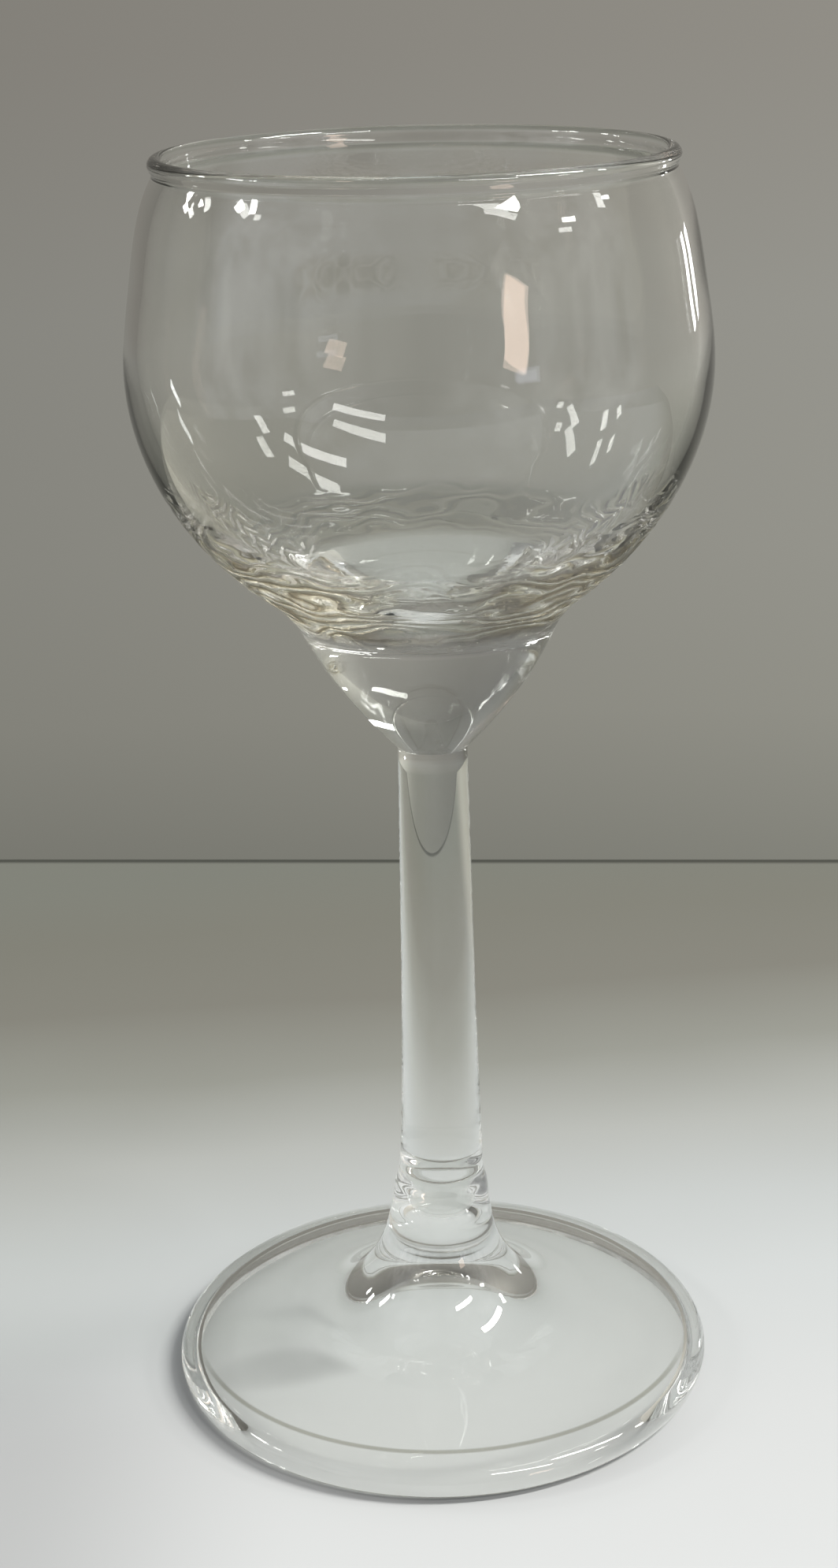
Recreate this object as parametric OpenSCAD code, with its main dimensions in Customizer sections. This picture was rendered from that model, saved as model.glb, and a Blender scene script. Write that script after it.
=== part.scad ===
// Stemmed liqueur glass: a ball bowl on a solid cone, a solid tapering stem and a round foot, all one piece.
// Millimetres, +Z up, origin in the middle of the ring that the foot stands on.

/* [Foot] */
// Diameter across the foot
foot_d = 56; // [48:0.5:64]
// Thickness of the foot's rounded edge
edge_t = 3.3; // [2.6:0.1:4]
// Slope of the foot's top face, half way out, in degrees
disc_slope = 12; // [8:0.5:16]
// Thickness of the foot's disc, half way out
disc_t = 2; // [1.6:0.1:2.4]
// Width of the flat ring that touches the table
ring_w = 0.45; // [0.3:0.05:0.9]
// Height of the lip inside that ring
lip_h = 1.5; // [1.1:0.1:1.8]
// Width of that lip, measured along the table
lip_w = 0.6; // [0.4:0.1:1]
// Height of the hollow under the foot, in its middle
hollow_h = 10.5; // [9:0.1:12]
// Diameter of the bell of the hollow, where it is steepest
bell_d = 12; // [11:0.1:13]
// Height of that place, from the table
bell_h = 7; // [6.4:0.1:7.6]
// Slope of the hollow there, in degrees
bell_slope = 41; // [34:0.5:46]
// Slope of the hollow under the middle of the disc, in degrees
under_slope = 13.5; // [10:0.5:16]

/* [Neck of the foot] */
// Height of the neck, from the table to its shoulder
neck_h = 20.4; // [19:0.2:24]
// Diameter of the neck at its shoulder
neck_d = 9.7; // [9.2:0.1:11]
// Diameter of the neck's flare, half way down to the disc
flare_d = 13.8; // [13:0.1:16]
// Height of that place, from the table
flare_h = 12.3; // [11:0.1:14]
// Height of the soft step between the neck and the stem
step_h = 2.2; // [1.4:0.1:3]

/* [Stem] */
// Length of the stem, from the soft step to the cone
stem_l = 46; // [34:0.5:58]
// Diameter of the stem at its foot
stem_foot_d = 8.7; // [7.8:0.1:9.1]
// Diameter of the stem at its top
stem_top_d = 6.9; // [6:0.1:7.6]

/* [Cone] */
// Height of the solid cone, from the stem to the waist
cone_h = 12.3; // [10:0.1:15]
// Diameter of the waist between the cone and the bowl
waist_d = 24.7; // [22:0.1:27]

/* [Bowl] */
// Largest diameter of the bowl
bowl_d = 55.3; // [50:0.1:60]
// Height from the waist to the bowl's widest ring
ball_h = 25.6; // [23:0.1:29]
// Width of the hollow sweep from the waist out to the foot of the ball
sweep_w = 3.6; // [3:0.1:4.4]
// Height of that sweep
sweep_h = 4.1; // [3.4:0.1:5]
// Height from the bowl's widest ring to the top of the rim
side_h = 19.5; // [15:0.1:26]
// Diameter across the rim
rim_d = 48.7; // [45:0.1:51]
// Thickness of the melted bead round the rim
bead_t = 1.5; // [1.3:0.1:1.9]
// Thickness of the bowl's wall from its widest ring up to the rim
wall_t = 1.4; // [1:0.1:1.8]
// Thickness of the bowl's wall just above the foot of the ball
low_wall_t = 2.2; // [1.6:0.1:3]
// Thickness of glass between the waist and the inside of the bowl
floor_t = 4.8; // [3.4:0.1:6.5]

/* [Hidden] */

// Steps along each curve of the outline, and round the turned glass
curve_steps = 10;
turn_steps = 96;

// Headings along the outline, in degrees from straight outwards, positive upwards
outwards = 0;
upwards = 90;
inwards = 180;
downwards = 270;

// Headings where the outline passes from one form into the next
lip_top_heading = -21.5;
lip_foot_heading = -75;
brow_heading = 156;
flare_heading = 120;
shoulder_heading = 97;
stem_foot_heading = 92.4;
stem_top_heading = 90.8;
cone_foot_heading = 46;
waist_heading = 65;
ball_foot_heading = 38;
side_heading = 98.5;
collar_heading = 108;

// Where the in-between stations lie, as parts of the form they belong to
disc_mid_part = 0.6;
low_wall_part = 0.2;
side_up_part = 0.42;
side_in_part = 0.29;
collar_down_part = 1.3;
collar_in_part = 0.17;

foot_r = foot_d / 2;
edge_r = edge_t / 2;
ring_r = foot_r - edge_r;
lip_r = ring_r - ring_w;
neck_r = neck_d / 2;
bead_r = bead_t / 2;
rim_r = rim_d / 2;
bowl_r = bowl_d / 2;
waist_r = waist_d / 2;

// Heights of the stations, each built on the one below
seam_z = neck_h + step_h;
cone_z = seam_z + stem_l;
waist_z = cone_z + cone_h;
widest_z = waist_z + ball_h;
rim_z = widest_z + side_h;
floor_z = waist_z + floor_t;

// A station is [radius, height, heading].
// Foot: the place where the edge passes into the top face, and the middle of that face
brow = [
    ring_r + edge_r * cos(brow_heading - upwards),
    edge_r + edge_r * sin(brow_heading - upwards),
    brow_heading
];
disc_r = disc_mid_part * foot_r;
disc_mid = [disc_r, brow[1] + (brow[0] - disc_r) * tan(disc_slope), inwards - disc_slope];
// Under the foot: the crown of the hollow, its bell, the middle of its slope and the lip inside the ring
crown = [0, hollow_h, outwards];
bell = [bell_d / 2, bell_h, -bell_slope];
under_mid = [disc_r, disc_mid[1] - disc_t, -under_slope];
lip_top = [lip_r - lip_w, lip_h, lip_top_heading];
lip_foot = [lip_r, 0, lip_foot_heading];
// Neck: the middle of its flare and the start of its shoulder
flare_mid = [flare_d / 2, flare_h, flare_heading];
shoulder = [neck_r, neck_h, shoulder_heading];
// Stem: both ends lean a little, so it swells towards the foot
stem_foot = [stem_foot_d / 2, seam_z, stem_foot_heading];
stem_top = [stem_top_d / 2, cone_z, stem_top_heading];
// Cone and bowl: the cone bulges, the waist is hollow and the ball grows out of it
cone_foot = [stem_top[0], cone_z, cone_foot_heading];
waist = [waist_r, waist_z, waist_heading];
ball_foot = [waist_r + sweep_w, waist_z + sweep_h, ball_foot_heading];
widest = [bowl_r, widest_z, upwards];
side_mid = [bowl_r - side_in_part * (bowl_r - rim_r), widest_z + side_up_part * side_h, side_heading];
collar = [rim_r - collar_in_part * bead_t, rim_z - collar_down_part * bead_t, collar_heading];
bead_side = [rim_r, rim_z - bead_r, upwards];
bead_top = [rim_r - bead_r, rim_z, inwards];
bead_inside = [rim_r - bead_t, rim_z - bead_r, downwards];

// The station at part t of the way along the curve from station a to station b.
// The curve is a cubic whose handles bring it close to a circular arc.
function on_curve(a, b, t) =
    let(
        reach = norm([b[0] - a[0], b[1] - a[1]]) / (3 * pow(cos((b[2] - a[2]) / 4), 2)),
        leave = reach * [cos(a[2]), sin(a[2])],
        arrive = reach * [cos(b[2]), sin(b[2])],
        pa = [a[0], a[1]],
        pb = [b[0], b[1]],
        s = 1 - t,
        place = s * s * (s + 3 * t) * pa + 3 * s * s * t * leave + t * t * (t + 3 * s) * pb - 3 * s * t * t * arrive,
        way = s * s * leave + 2 * s * t * (pb - pa - leave - arrive) + t * t * arrive
    )
    [place[0], place[1], atan2(way[1], way[0])];

// Points after station a up to station b
function curve(a, b) = [
    for (i = [1 : curve_steps])
        let(p = on_curve(a, b, i / curve_steps)) [p[0], p[1]]
];

// Points along a whole run of stations
function outline(stations) = [
    for (i = [0 : len(stations) - 2]) each curve(stations[i], stations[i + 1])
];

// The station on the inside of a wall of thickness t, square to station p on its outside
function inside(p, t) = [p[0] - t * sin(p[2]), p[1] + t * cos(p[2]), p[2] + 180];

low_wall = on_curve(ball_foot, widest, low_wall_part);

// From the crown of the hollow out to the ring, round the outside, over the rim and down to the bowl's floor
under = outline([crown, bell, under_mid, lip_top, lip_foot]);
foot = outline([[ring_r, 0, outwards], [foot_r, edge_r, upwards], brow, disc_mid, flare_mid, shoulder]);
leg = outline([shoulder, stem_foot, stem_top]);
cone = outline([cone_foot, waist]);
bowl_outside = outline([waist, ball_foot, widest, side_mid, collar, bead_side, bead_top, bead_inside]);
bowl_inside = outline([
    bead_inside,
    inside(collar, wall_t),
    inside(side_mid, wall_t),
    inside(widest, wall_t),
    inside(low_wall, low_wall_t),
    [0, floor_z, inwards]
]);

// The whole glass, turned round the upright axis
module liqueur_glass() {
    color("gainsboro", 0.5)
        rotate_extrude($fn = turn_steps)
            polygon(concat([[0, hollow_h]], under, [[ring_r, 0]], foot, leg, cone, bowl_outside, bowl_inside));
}

liqueur_glass();
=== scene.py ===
import math

import bpy
import numpy as np
from mathutils import Matrix, Vector


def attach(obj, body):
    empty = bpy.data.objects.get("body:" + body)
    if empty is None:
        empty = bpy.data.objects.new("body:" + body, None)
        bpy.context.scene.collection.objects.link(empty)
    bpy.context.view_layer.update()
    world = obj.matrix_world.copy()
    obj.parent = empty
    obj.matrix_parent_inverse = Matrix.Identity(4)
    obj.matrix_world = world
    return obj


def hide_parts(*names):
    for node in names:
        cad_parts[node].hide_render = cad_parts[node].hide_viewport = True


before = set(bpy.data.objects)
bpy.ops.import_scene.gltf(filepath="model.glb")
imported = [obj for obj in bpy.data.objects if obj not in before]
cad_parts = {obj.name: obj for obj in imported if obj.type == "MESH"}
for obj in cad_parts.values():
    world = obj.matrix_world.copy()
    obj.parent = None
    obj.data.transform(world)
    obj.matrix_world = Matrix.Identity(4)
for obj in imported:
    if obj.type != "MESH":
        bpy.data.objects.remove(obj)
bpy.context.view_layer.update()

# The glass
# Clear pressed and blown glass in one piece. Its side outline is drawn as stations of radius,
# height and heading, in millimetres and degrees, joined by curves, and turned round the upright
# axis. The thick bottom of the bowl chilled on the mould first, which left it rippled. Its marbled
# look is painted light: the room's light bent through the ripples is painted into the glass's colour.
OUTWARDS, UPWARDS, INWARDS, DOWNWARDS = 0, 90, 180, 270
TURN_STEPS = 240


def on_curve(a, b, t):
    """Points at parts t of the way from station a to station b.

    A cubic whose handles are the chord over 3 cos^2 of a quarter of the turn, so it stays close to
    an arc.
    """
    pa, pb = np.array(a[:2]), np.array(b[:2])
    reach = np.hypot(*(pb - pa)) / (3 * math.cos(math.radians(b[2] - a[2]) / 4) ** 2)
    leave = reach * np.array([math.cos(math.radians(a[2])), math.sin(math.radians(a[2]))])
    arrive = reach * np.array([math.cos(math.radians(b[2])), math.sin(math.radians(b[2]))])
    t = np.asarray(t)[:, None]
    s = 1 - t
    return s**3 * pa + 3 * s * s * t * (pa + leave) + 3 * s * t * t * (pb - arrive) + t**3 * pb


def inside(p, thickness):
    """The station a wall's thickness inside station p, facing the other way."""
    way = math.radians(p[2])
    return [p[0] - thickness * math.sin(way), p[1] + thickness * math.cos(way), p[2] + 180]


def place_inside(a, b, part, thickness):
    """Radius and height of the place a wall's thickness inside the curve from a to b, at this part of it."""
    p, q = on_curve(a, b, [part, part + 1e-4])
    way = math.degrees(math.atan2(q[1] - p[1], q[0] - p[0]))
    return inside([*p, way], thickness)[:2]


# Foot: its rounded edge, the brow where the edge meets the top face, and the middle of that face
ring_r, edge_r = 26.33, 1.65
disc_r, disc_slope, disc_t = 16.8, 12, 2
brow_heading = 156
brow_turn = math.radians(brow_heading - UPWARDS)
edge_side = [ring_r + edge_r, edge_r, UPWARDS]
brow = [ring_r + edge_r * math.cos(brow_turn), edge_r + edge_r * math.sin(brow_turn), brow_heading]
disc_drop = (brow[0] - disc_r) * math.tan(math.radians(disc_slope))
disc_mid = [disc_r, brow[1] + disc_drop, INWARDS - disc_slope]
# Under the foot: the crown and bell of its hollow, the hollow's slope, the lip and the ring it stands on
crown, bell = [0, 10.5, OUTWARDS], [6, 7, -41]
under_mid = [disc_r, disc_mid[1] - disc_t, -13.5]
lip_top, lip_foot = [25.3, 1.5, -21.5], [25.9, 0, -75]
ring_in, ring_out = [25.9, 0, OUTWARDS], [ring_r, 0, OUTWARDS]
# Neck, stem and cone
flare_mid, shoulder = [6.9, 12.3, 120], [4.85, 20.4, 97]
stem_foot, stem_top = [4.35, 22.6, 92.4], [3.45, 68.6, 90.8]
cone_foot, waist = [3.45, 68.6, 46], [12.35, 80.9, 65]
# Outside of the bowl, up to the melted bead of the rim
bowl_r, widest_z = 27.65, 106.5
rim_r, rim_z, bead_r = 24.35, 126, 0.75
ball_foot = [15.95, 85.0, 38]
widest = [bowl_r, widest_z, UPWARDS]
side_mid = [bowl_r - 0.29 * (bowl_r - rim_r), widest_z + 0.42 * (rim_z - widest_z), 98.5]
collar = [24.06, 124.15, 120]
bead_side = [rim_r, rim_z - bead_r, UPWARDS]
bead_top = [rim_r - bead_r, rim_z, INWARDS]
bead_inside = [rim_r - 2 * bead_r, rim_z - bead_r, DOWNWARDS]
# Inside of the bowl: the wall gets thicker below its widest ring
wall_t, low_wall_t = 1.4, 2.2
collar_in, side_in = inside(collar, wall_t), inside(side_mid, wall_t)
widest_in = [bowl_r - wall_t, widest_z, 267.7]
low_wall = [*place_inside(ball_foot, widest, 0.2, low_wall_t), 222.7]
well = [0, 85.7, INWARDS]

# Each run: its two stations, the spacing of its rings in millimetres, and what it is a part of
RUNS = [
    (crown, bell, 0.8, "under"),
    (bell, under_mid, 1.2, "under"),
    (under_mid, lip_top, 1.2, "under"),
    (lip_top, lip_foot, 0.15, "lip"),
    (ring_in, ring_out, 0.15, "ring"),
    (ring_out, edge_side, 0.2, "edge"),
    (edge_side, brow, 0.2, "edge"),
    (brow, disc_mid, 1.3, "disc"),
    (disc_mid, flare_mid, 0.8, "disc"),
    (flare_mid, shoulder, 0.5, "neck"),
    (shoulder, stem_foot, 0.22, "neck"),
    (stem_foot, stem_top, 2.0, "stem"),
    (cone_foot, waist, 0.6, "cone"),
    (waist, ball_foot, 0.28, "waist"),
    (ball_foot, widest, (0.22, 1.0), "ball"),
    (widest, side_mid, 1.3, "side"),
    (side_mid, collar, 1.0, "side"),
    (collar, bead_side, 0.15, "bead"),
    (bead_side, bead_top, 0.12, "bead"),
    (bead_top, bead_inside, 0.12, "bead"),
    (bead_inside, collar_in, 0.2, "inner side"),
    (collar_in, side_in, 1.0, "inner side"),
    (side_in, widest_in, 1.3, "inner side"),
    (widest_in, low_wall, (0.9, 0.22), "inner ball"),
    (low_wall, well, (0.22, 0.5), "floor"),
]


def side_outline(runs):
    """Rings of the whole outline, from the crown of the foot's hollow to the bottom of the bowl.

    Gives the radius and height of each ring and the name of its part, run after run, without
    repeating the place where two runs meet. A pair of spacings widens or narrows by equal ratios
    along the run.
    """
    points, names = [], []
    for a, b, spacing, name in runs:
        rough = on_curve(a, b, np.linspace(0, 1, 60))
        length = np.hypot(*np.diff(rough, axis=0).T).sum()
        if isinstance(spacing, tuple):
            first, last = spacing
            steps = round(length * math.log(last / first) / (last - first))
            parts = ((last / first) ** np.linspace(0, 1, steps + 1) - 1) / (last / first - 1)
        else:
            parts = np.linspace(0, 1, max(2, round(length / spacing)) + 1)
        points.append(on_curve(a, b, parts)[1 if points else 0:])
        names += [name] * len(points[-1])
    return np.concatenate(points), np.array(names)


def smooth_step(x, low, high):
    """0 below low, 1 above high, and an S-shaped cubic between."""
    t = np.clip((x - low) / (high - low), 0, 1)
    return t * t * (3 - 2 * t)


# The slow sines that bend the crests of a ripple: how many go round the glass, how far they shift a
# crest in millimetres, and how much they lean with each millimetre up the wall
BENDS = ((3, 0.8, 0.2), (7, 0.5, 0.4), (13, 0.4, 0.7), (19, 0.34, 1.0), (27, 0.26, 1.3), (38, 0.16, 1.7))
# The ripples of the bowl's thick bottom, inside and outside: lengths and heights in millimetres, and
# the seed of their course
RIPPLES_IN = ((2.3, 1.5, 1.0), (0.036, 0.024, 0.012), 11)
RIPPLES_OUT = ((2.1, 1.4, 1.0), (0.014, 0.010, 0.005), 23)


def ripples(turn, along, lengths, heights, seed):
    """Sum of sine waves that run up the wall, each bent by slower sines.

    The bends go a whole number of times round the glass, and each wave swells and sinks on its way
    round, so the crests wander, pinch and curl like marks of glass that chilled on the mould.
    """
    rng = np.random.default_rng(seed)
    total = np.zeros(np.broadcast(turn, along).shape)
    for length, height in zip(lengths, heights):
        bent = along + 0 * turn
        for count, bend, most_lean in BENDS:
            lean, start = most_lean * rng.uniform(-1, 1), rng.uniform(0, 2 * np.pi)
            bent = bent + bend * np.sin(count * turn + lean * along + start)
        swell = 0.65 + 0.35 * np.sin(rng.integers(5, 12) * turn + 0.7 * along + rng.uniform(0, 2 * np.pi))
        total += height * swell * np.sin(2 * np.pi * bent / length + rng.uniform(0, 2 * np.pi))
    return total


def marks_of_making(outline, part, turn):
    """How far the glass moves along the outline's normal, in millimetres, and where the outside ripples lie,
    which also places the painted light of the marbling.

    The ripples fill the bottom of the bowl on both faces of its wall. They stay lower and weaker at
    the back, climb at the two sides, and rest in the middle of the front. Above them each face sways
    in sines that go two, three and more times round and lean with the height, and the outside lies
    a little further in.
    """
    r, z = outline[:, :1], outline[:, 1:]
    along = np.concatenate([[0], np.cumsum(np.hypot(*np.diff(outline, axis=0).T))])[:, None]
    back = smooth_step(np.sin(turn), -0.15, 0.45)
    calm = 1 - 0.8 * np.exp(-(np.sin(turn / 2 + np.pi / 4) / 0.12) ** 2)
    climb = 3.2 * np.cos(turn) ** 4 * (1 - back) - 3 * back

    inner = np.isin(part, ["inner ball", "floor"])[:, None]
    chill_in = inner * smooth_step(r, 5, 10) * (1 - smooth_step(z + back, 87.2, 90.2))
    chill_in = chill_in * (1 - 0.85 * back) * calm
    outer = np.isin(part, ["ball", "waist"])[:, None]
    chill_out = outer * smooth_step(z, 81.8, 83.3) * (1 - smooth_step(z - climb, 89.4, 91.8))
    chill_out = chill_out * (1 - 0.6 * back) * calm

    outside = np.isin(part, ["ball", "side"])[:, None]
    walls = outside | np.isin(part, ["inner side", "inner ball"])[:, None]
    slow = walls * smooth_step(z, 88, 100) * (1 - smooth_step(z, 119, 124))
    sway_out = (0.02 * np.sin(2 * turn + 0.05 * z + 0.6) + 0.01 * np.sin(3 * turn - 0.11 * z)
                + 0.003 * np.sin(5 * turn + 0.21 * z + 2) - 0.06)
    sway_in = (0.02 * np.sin(2 * turn - 0.07 * z + 2.1) + 0.01 * np.sin(3 * turn + 0.13 * z + 1)
               + 0.003 * np.sin(7 * turn - 0.2 * z))

    move = chill_in * ripples(turn, along, *RIPPLES_IN) + chill_out * ripples(turn, along, *RIPPLES_OUT)
    return move + slow * np.where(outside, sway_out, sway_in), chill_out


def depth_of_glass(outline, part):
    """How deep the glass is behind each ring, from 0 to 1.

    Most in the bowl's floor and less in the cone, both fading out 11 to 14 mm from the axis, and
    little in the stem, where it grows towards the cone.
    """
    r, z = outline[:, :1], outline[:, 1:]
    stem = (part == "stem")[:, None]
    depth = 1.0 * (part == "floor")[:, None] + 0.5 * (part == "cone")[:, None] + 0.2 * stem
    return depth * (1 - smooth_step(r, 11, 14)) + 0.3 * stem * smooth_step(z, 40, 66)


def add_mark(mesh, name, at_crown, rings, at_well):
    """Gives the mesh a number at each of its points: the crown, then ring after ring, then the well."""
    mark = mesh.attributes.new(name, "FLOAT", "POINT")
    mark.data.foreach_set("value", np.concatenate([[at_crown], rings.ravel(), [at_well]]))


def glass_mesh(name):
    """The outline turned round the upright axis.

    Ring i, step j lies at (r cos, r sin, z), moved along the outline's normal by the marks of
    making and sideways by the bow of the stem, and the two poles are closed with fans.
    """
    outline, part = side_outline(RUNS)
    way = np.gradient(outline, axis=0)
    way /= np.hypot(*way.T)[:, None]
    turn = np.linspace(0, 2 * np.pi, TURN_STEPS, endpoint=False)[None]
    move, marbled = marks_of_making(outline, part, turn)
    r = outline[:, :1] + way[:, 1:] * move
    z = outline[:, 1:] - way[:, :1] * move
    bow = 0.42 * smooth_step(z, 9, 30) * (1 - smooth_step(z, 72, 96))
    rings = np.stack([r * np.cos(turn) + bow, r * np.sin(turn), z], -1)[1:-1]
    poles = [[[0, 0, height]] for height in (outline[0, 1], outline[-1, 1])]
    points = np.concatenate([poles[0], rings.reshape(-1, 3), poles[1]]) / 1000

    here = np.arange(TURN_STEPS)
    there = (here + 1) % TURN_STEPS
    row = 1 + np.arange(len(rings) - 1)[:, None] * TURN_STEPS
    corners = [row + here, row + there, row + there + TURN_STEPS, row + here + TURN_STEPS]
    quads = np.stack(corners, -1).reshape(-1, 4)
    last_row = len(points) - 1 - TURN_STEPS
    crown_fan = np.stack([0 * here, 1 + there, 1 + here], -1)
    well_fan = np.stack([last_row + here, last_row + there, 0 * here + len(points) - 1], -1)

    mesh = bpy.data.meshes.new(name)
    mesh.from_pydata(points.tolist(), [], crown_fan.tolist() + quads.tolist() + well_fan.tolist())
    # The outside ripples' mark also places the painted light of the marbling
    add_mark(mesh, "marbled", 0, marbled[1:-1], 0)
    add_mark(mesh, "deep", 0, (depth_of_glass(outline, part) + 0 * turn)[1:-1], 1)
    mesh.update()
    mesh.shade_smooth()
    return mesh


class Wire:
    """A shader socket that does sums.

    An operator between wires, or between a wire and a number, adds its Math node.
    """

    def __init__(self, tree, socket=None):
        self.tree, self.socket = tree, socket

    def node(self, kind, settings=None, sockets=None, out=0):
        """Adds any node: its settings or ramp stops first, then the values or links of its sockets."""
        made = self.tree.nodes.new(kind)
        for key, value in (settings or {}).items():
            if key == "stops":
                while len(made.color_ramp.elements) < len(value):
                    made.color_ramp.elements.new(1)
                for stop, (place, colour) in zip(made.color_ramp.elements, value):
                    stop.position, stop.color = place, (*colour, 1)
            else:
                setattr(made, key, value)
        for key, value in (sockets or {}).items():
            if isinstance(value, Wire):
                self.tree.links.new(value.socket, made.inputs[key])
            else:
                made.inputs[key].default_value = value
        return Wire(self.tree, made.outputs[out] if made.outputs else None)

    def axes(self):
        """The three numbers of a vector."""
        parts = self.node("ShaderNodeSeparateXYZ", sockets={0: self}).socket.node
        return [Wire(self.tree, parts.outputs[axis]) for axis in "XYZ"]

    def calculate(self, operation, other=0.0, swapped=False):
        """A Math node of this wire and the other value, or of the two the other way round."""
        pair = (other, self) if swapped else (self, other)
        return self.node("ShaderNodeMath", {"operation": operation}, dict(enumerate(pair)))

    def __add__(self, other):
        return self.calculate("ADD", other)

    __radd__ = __add__

    def __mul__(self, other):
        return self.calculate("MULTIPLY", other)

    __rmul__ = __mul__

    def __sub__(self, other):
        return self.calculate("SUBTRACT", other)

    def __rsub__(self, other):
        return self.calculate("SUBTRACT", other, True)

    def __neg__(self):
        return 0 - self

    def __abs__(self):
        return self.calculate("ABSOLUTE")

    def at_least(self, least):
        return self.calculate("MAXIMUM", least)

    def at_most(self, most):
        return self.calculate("MINIMUM", most)

    def step(self, low, high):
        """0 below low, 1 above high, smooth between."""
        ends = {0: self, 1: low, 2: high}
        return self.node("ShaderNodeMapRange", {"interpolation_type": "SMOOTHSTEP"}, ends)

    def blend(self, a, b):
        """Colour a where this is 0, colour b where it is 1."""
        return self.node("ShaderNodeMix", {"data_type": "RGBA"}, {0: self, 6: a, 7: b}, 2)

    def past_radius(self, low, high):
        """For a squared distance in metres: 0 within the radius low, 1 past high, in millimetres."""
        return self.step((low / 1000) ** 2, (high / 1000) ** 2)

    def light_path(self, ray):
        """1 for rays of this kind, 0 for all others."""
        return self.node("ShaderNodeLightPath", out=ray)


def fresh_material(name):
    """An empty material, and the wire that its nodes start from."""
    material = bpy.data.materials.new(name)
    material.use_nodes = True
    material.node_tree.nodes.clear()
    return material, Wire(material.node_tree)


THIN_GLASS, THICK_GLASS = (0.985, 0.99, 0.98, 1), (0.74, 0.76, 0.73, 1)
# Painted light of the marbling: lit straw, shaded umber, cream glints and dark umber streaks
PAINTED_LIT_STRAW, PAINTED_SHADE_UMBER = (0.94, 0.85, 0.57, 1), (0.33, 0.27, 0.15, 1)
PAINTED_GLINT_CREAM, PAINTED_DARK_UMBER = (1.0, 0.99, 0.84, 1), (0.14, 0.10, 0.04, 1)
# Painted shade: the dark colour of the line painted round the foot's edge
PAINTED_FOOT_SHADE = (0.40, 0.39, 0.33, 1)
LET_THROUGH = (0.96, 0.965, 0.955, 1)

clear_glass, wire = fresh_material("clear_glass")
place = wire.node("ShaderNodeTexCoord", out="Object")
aside, behind, height = place.axes()
outward = aside * aside + behind * behind
# Where the outside ripples lie, which is also where the marbling's painted light goes
marbled = wire.node("ShaderNodeAttribute", {"attribute_name": "marbled"}, out="Fac")
deep = wire.node("ShaderNodeAttribute", {"attribute_name": "deep"}, out="Fac")

# Marbling in painted light: level bands that curl, with painted glints in cream on their crests and
# painted dark umber between, on painted lit straw at the left and painted shaded umber at the right.
# They stand in for the room's light bent through the ripples.
flat = wire.node("ShaderNodeMapping", sockets={"Vector": place, "Scale": (0.45, 0.45, 1.0)})
curl = wire.node("ShaderNodeTexWave", {"bands_direction": "Z"}, {
    "Vector": flat, "Scale": 250.0, "Distortion": 15.0,
    "Detail": 1.0, "Detail Scale": 1.4, "Detail Roughness": 0.4,
}, out="Fac")
painted_glint, painted_dark_streak = curl.step(0.66, 0.86), 1 - curl.step(0.10, 0.36)
painted_side_light = aside.step(-0.012, 0.012).blend(PAINTED_LIT_STRAW, PAINTED_SHADE_UMBER)
painted_refraction = painted_dark_streak.blend(painted_glint.blend(painted_side_light, PAINTED_GLINT_CREAM), PAINTED_DARK_UMBER)

# Painted shade: a thin dark line painted where the top face of the foot meets its edge. It stands in
# for the edge's shade seen through the glass. Its circle lies a little behind the middle of the foot,
# and it shows in front and fades at the sides
SHADE_LINE_BEHIND = 0.0014
shade_line_y = behind - SHADE_LINE_BEHIND
off_middle = aside * aside + shade_line_y * shade_line_y
painted_shade_line = off_middle.past_radius(25.92, 26.15) * (1 - off_middle.past_radius(26.38, 26.61))
painted_shade_line = painted_shade_line * height.step(0.003, 0.0034) * (1 - height.step(0.005, 0.006)) * (-behind).step(0.002, 0.014)

tint = painted_shade_line.blend(marbled.blend(deep.blend(THIN_GLASS, THICK_GLASS), painted_refraction), PAINTED_FOOT_SHADE)
film = wire.node("ShaderNodeTexNoise", sockets={
    "Vector": place, "Scale": 160.0, "Detail": 4.0, "Roughness": 0.6})
relief = wire.node("ShaderNodeBump", sockets={
    "Strength": 1.0, "Distance": 0.0002, "Height": curl * marbled})
body = wire.node("ShaderNodeBsdfPrincipled", sockets={
    "Base Color": tint, "Roughness": film.step(0.62, 0.9) * 0.03, "Normal": relief,
    "IOR": 1.52, "Transmission Weight": 1.0,
})

# Light on its way to the table goes nearly straight through. The glass holds it back where it is
# seen edge on and round the edge of the foot, most at the front and left
let_through = wire.node("ShaderNodeBsdfTransparent", sockets={"Color": LET_THROUGH})
edge_on = wire.node("ShaderNodeLayerWeight", sockets={"Blend": 0.5}, out="Facing").step(0.5, 1.0) * 0.5
rounding = outward.past_radius(22.58, 23.45) * (1 - outward.past_radius(24.08, 24.70)) * 0.12
rounding = rounding + outward.past_radius(26.46, 27.57) * 0.9
rounding = rounding * (1 - height.step(0.0042, 0.0055)) * (1 - (aside + behind).step(-0.008, 0.02) * 0.85)
held_back = edge_on.at_least(rounding)
from_table, from_lamp = wire.light_path("Is Diffuse Ray"), wire.light_path("Is Shadow Ray")
lamp_side = wire.node("ShaderNodeMixShader", sockets={0: held_back, 1: let_through, 2: body})
soft_side = wire.node("ShaderNodeMixShader", sockets={0: from_table, 1: body, 2: lamp_side})
surface = wire.node("ShaderNodeMixShader", sockets={0: from_lamp, 1: soft_side, 2: lamp_side})
wire.node("ShaderNodeOutputMaterial", sockets={"Surface": surface})

glass = bpy.data.objects.new("clear_glass_body", glass_mesh("clear_glass_body"))
bpy.context.scene.collection.objects.link(glass)
glass.data.materials.append(clear_glass)
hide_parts("liqueur_glass")
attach(glass, "root")

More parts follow.
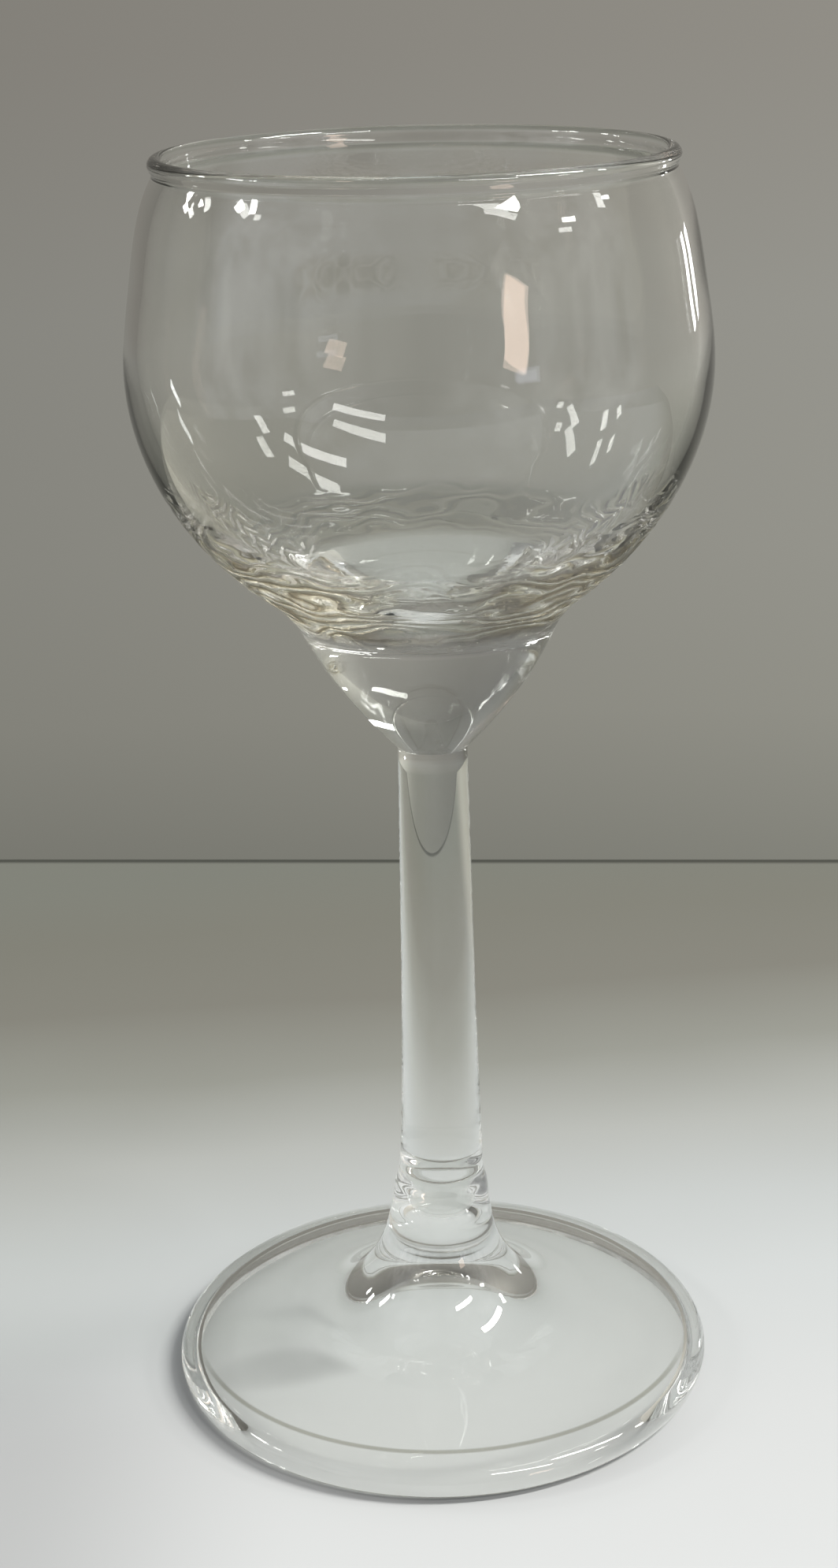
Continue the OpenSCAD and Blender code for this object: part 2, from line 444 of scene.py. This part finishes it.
# The table
# A pale matt sheet laid flat, which ends at a fold behind the glass. Painted shade darkens it towards
# the fold and towards the left, with a painted crease shade at the fold and a soft painted shadow
# beside the stem.
FOLD_Y, FOLD_LEAN = 0.1452, 0.0664
TABLE_SIDE, TABLE_FRONT = 0.45, -0.4
# The table's pale tone at the front, with painted shade darkening it towards the fold
TABLE_TONES_AND_FOLD_SHADE = [
    (0.025, (0.66, 0.665, 0.665)), (0.175, (0.63, 0.635, 0.635)), (0.295, (0.575, 0.59, 0.59)),
    (0.39, (0.51, 0.525, 0.52)), (0.49, (0.425, 0.43, 0.41)), (0.60, (0.285, 0.285, 0.255)),
    (0.715, (0.215, 0.208, 0.180)), (0.85, (0.200, 0.196, 0.167)), (0.975, (0.195, 0.198, 0.171)),
]
# Painted shade: the far left of the table is darker and browner
LEFT_PAINTED_SHADE = (0.42, 0.405, 0.345, 1)


def sheet_mesh(name, corners):
    """A flat four-sided sheet."""
    mesh = bpy.data.meshes.new(name)
    mesh.from_pydata(corners, [], [(0, 1, 2, 3)])
    return mesh


table = bpy.data.objects.new("table", sheet_mesh("table", [
    (-TABLE_SIDE, TABLE_FRONT, 0), (TABLE_SIDE, TABLE_FRONT, 0),
    (TABLE_SIDE, FOLD_Y - TABLE_SIDE * FOLD_LEAN, 0), (-TABLE_SIDE, FOLD_Y + TABLE_SIDE * FOLD_LEAN, 0),
]))
bpy.context.scene.collection.objects.link(table)

pale_table, wire = fresh_material("pale_table")
spot = wire.node("ShaderNodeTexCoord", out="Object")
across, behind, _ = spot.axes()
cloud = wire.node("ShaderNodeTexNoise", sockets={"Vector": spot, "Scale": 18.0, "Detail": 2.0})
distance = behind - across * 0.12 + (cloud - 0.5) * 0.012
tone = wire.node("ShaderNodeValToRGB", {"stops": TABLE_TONES_AND_FOLD_SHADE}, {0: (distance + 0.05) * 5})
tone = (-across).step(0.07, 0.12).blend(tone, LEFT_PAINTED_SHADE)
# Painted shade over the left front of the table
painted_left_shade = (-across).step(0.012, 0.045) * (1 - behind.step(-0.02, 0.02)) * 0.26
# Painted shade: a thin dark crease along the fold
painted_crease_shade = (behind + across * FOLD_LEAN).step(FOLD_Y - 0.0022, FOLD_Y - 0.0008) * 0.6
# The painted shadow of the stem is an oval about 18 by 10 mm, 16.5 mm to the left of the stem
shade_x = (across + 0.0165) * 110
shade_y = (behind + 0.0045 - (across + 0.0165) * 0.2) * 210
painted_stem_shadow = (1 - (shade_x * shade_x + shade_y * shade_y).step(0.0, 1.0)) * 0.2
# How much of the light the painted shade, crease shade and stem shadow leave
painted_brightness = (1 - painted_left_shade) * (1 - painted_crease_shade) * (1 - painted_stem_shadow)
tone = wire.node("ShaderNodeVectorMath", {"operation": "SCALE"}, {0: tone, "Scale": painted_brightness})
paint = wire.node("ShaderNodeBsdfPrincipled", sockets={
    "Base Color": tone, "Roughness": 0.7, "Specular IOR Level": 0.0})
wire.node("ShaderNodeOutputMaterial", sockets={"Surface": paint})
table.data.materials.append(pale_table)

# The light
# A plain soft room: the world lights everything evenly and stands in for the grey wall, and ceiling
# lamps, two windows and a screen draw the highlights.
SOFT_LIGHT = (0.25, 0.26, 0.27, 1)
WALL_TONES = [
    (0.00, (0.198, 0.198, 0.171)), (0.063, (0.254, 0.250, 0.218)), (0.123, (0.269, 0.265, 0.235)),
    (0.214, (0.274, 0.269, 0.242)), (0.312, (0.256, 0.244, 0.217)), (0.62, (0.235, 0.228, 0.202)),
    (0.8, (0.22, 0.213, 0.19)), (1.0, (0.19, 0.185, 0.165)),
]
world = bpy.data.worlds.new("room")
bpy.context.scene.world = world
world.use_nodes = True
world.node_tree.nodes.clear()
wire = Wire(world.node_tree)
away = wire.node("ShaderNodeTexCoord", out="Generated")
side, back, up = away.axes()

# The wall behind the glass, a little lighter at the right
wall = wire.node("ShaderNodeValToRGB", {"stops": WALL_TONES}, {0: up + 0.37})
sideways = side.at_most(0.25).at_least(-0.25) * 0.65 + 1
wall = wire.node("ShaderNodeVectorMath", {"operation": "SCALE"}, {0: wall, "Scale": sideways})
# What shows through the glass: the room is lighter at the right and in front
before = (-back).step(0.1, 0.6) * (side * 4 + 0.4).at_least(-0.3).at_most(1.3)
through = side.step(0.3, 0.9) * 1.2 - (-side).step(0.3, 0.9) * 0.35 + 1 + before
beyond = wire.node("ShaderNodeVectorMath", {"operation": "SCALE"}, {0: wall, "Scale": through})
# What the glass mirrors from in front: a dim, patchy room
patches = wire.node("ShaderNodeTexNoise", sockets={"Vector": away, "Scale": 5.0, "Detail": 4.0})
room = (up * 0.3 + abs(side) * 1.3 * (patches * 3.0 - 0.8)).at_least(0.02)
mirrored = back.step(-0.15, 0.15).blend(room, wall)

camera_ray, glossy_ray, through_ray = [
    wire.light_path(ray) for ray in ("Is Camera Ray", "Is Glossy Ray", "Is Transmission Ray")]
seen = through_ray.blend(glossy_ray.blend(wall, mirrored), beyond)
shown = (camera_ray + glossy_ray + through_ray).at_most(1.0).blend(SOFT_LIGHT, seen)
sky = wire.node("ShaderNodeBackground", sockets={"Color": shown, "Strength": 1.0})
wire.node("ShaderNodeOutputWorld", sockets={"Surface": sky})

LAMP_DISTANCE = 2
BOWL_CENTRE = Vector((0, 0, 0.1))


def hang_lamp(name, start, end, across, glow, colour):
    """A flat lamp that faces the bowl from two metres.

    It reaches from one direction to the other and is so many degrees across. Its energy is its glow
    times four times its area.
    """
    start, end = Vector(start).normalized(), Vector(end).normalized()
    way, along = (start + end).normalized(), (end - start).normalized()
    long = 2 * LAMP_DISTANCE * math.tan(start.angle(end) / 2)
    wide = 2 * LAMP_DISTANCE * math.tan(math.radians(across) / 2)
    lamp = bpy.data.lights.new(name, "AREA")
    lamp.shape, lamp.size, lamp.size_y, lamp.color = "RECTANGLE", wide, long, colour
    lamp.energy = glow * 4 * long * wide
    held = bpy.data.objects.new(name, lamp)
    bpy.context.scene.collection.objects.link(held)
    pose = Matrix((along.cross(way), along, way)).transposed().to_4x4()
    pose.translation = way * LAMP_DISTANCE + BOWL_CENTRE
    held.matrix_world = pose


# Each lamp: the directions of its two ends from the bowl, its width in degrees, its glow and its colour
WHITE, DAYLIGHT = (1.0, 1.0, 0.97), (0.97, 0.99, 1.0)
COOL, WARM = (0.80, 0.83, 1.0), (1.0, 0.76, 0.62)
RIG = [
    ("tube_front", (0.595, -0.52, 0.61), (0.255, -0.595, 0.765), 4.0, 24, WHITE),
    ("tube_over", (0.775, -0.01, 0.63), (0.455, -0.145, 0.875), 4.5, 60, WHITE),
    ("lamp_right", (0.86, -0.29, 0.42), (0.815, -0.38, 0.44), 2.4, 28, WHITE),
    ("lamp_right_back", (0.88, 0.045, 0.465), (0.825, 0.09, 0.56), 3.5, 28, WHITE),
    ("lamp_left", (-0.86, -0.095, 0.50), (-0.825, 0.085, 0.555), 3.2, 28, WHITE),
    ("lamp_left_front", (-0.82, -0.195, 0.535), (-0.84, -0.15, 0.52), 3.0, 28, WHITE),
    ("lamp_left_back", (-0.88, 0.26, 0.395), (-0.82, 0.34, 0.455), 3.0, 28, WHITE),
    ("lamp_left_far", (-0.87, 0.37, 0.305), (-0.84, 0.43, 0.33), 2.5, 28, WHITE),
    ("window", (0.61, -0.74, 0.195), (0.59, -0.81, 0.07), 9.0, 4.2, WARM),
    ("screen", (0.66, -0.76, 0.065), (0.66, -0.76, 0.0), 9.0, 1.3, COOL),
    ("window_side", (0.68, 0.73, 0.03), (0.66, 0.75, -0.06), 2.5, 12.0, DAYLIGHT),
]
for lamp_row in RIG:
    hang_lamp(*lamp_row)

# The camera
# It stands in front and looks down at the glass, as the photograph was taken. Its lens is given by
# the photograph's height and its focal length, both in pixels.
STAND = Vector((0, -0.23685, 0.14860))
PITCH, ROLL, YAW = math.radians(19.54), math.radians(-1.46), math.radians(-0.247)
FOCAL_PIXELS, HEIGHT_PIXELS, SENSOR = 3216, 1990, 36
look = Vector((math.sin(YAW) * math.cos(PITCH), math.cos(YAW) * math.cos(PITCH), -math.sin(PITCH)))
level = Vector((math.cos(YAW), -math.sin(YAW), 0))
upright = level.cross(look)
right = level * math.cos(ROLL) + upright * math.sin(ROLL)
top = upright * math.cos(ROLL) - level * math.sin(ROLL)
lens = bpy.data.cameras.new("camera")
lens.sensor_width, lens.lens, lens.clip_start = SENSOR, FOCAL_PIXELS / HEIGHT_PIXELS * SENSOR, 0.01
camera = bpy.data.objects.new("camera", lens)
bpy.context.scene.collection.objects.link(camera)
pose = Matrix((right, top, -look)).transposed().to_4x4()
pose.translation = STAND
camera.matrix_world = pose
bpy.context.scene.camera = camera
bpy.context.scene.view_settings.view_transform = "Standard"

# Clear glass needs many bounces, and its light on the table comes from the light that it lets through
cycles = bpy.context.scene.cycles
cycles.max_bounces = 24
cycles.transmission_bounces = 20
cycles.glossy_bounces = 20
cycles.caustics_refractive = False
cycles.caustics_reflective = False
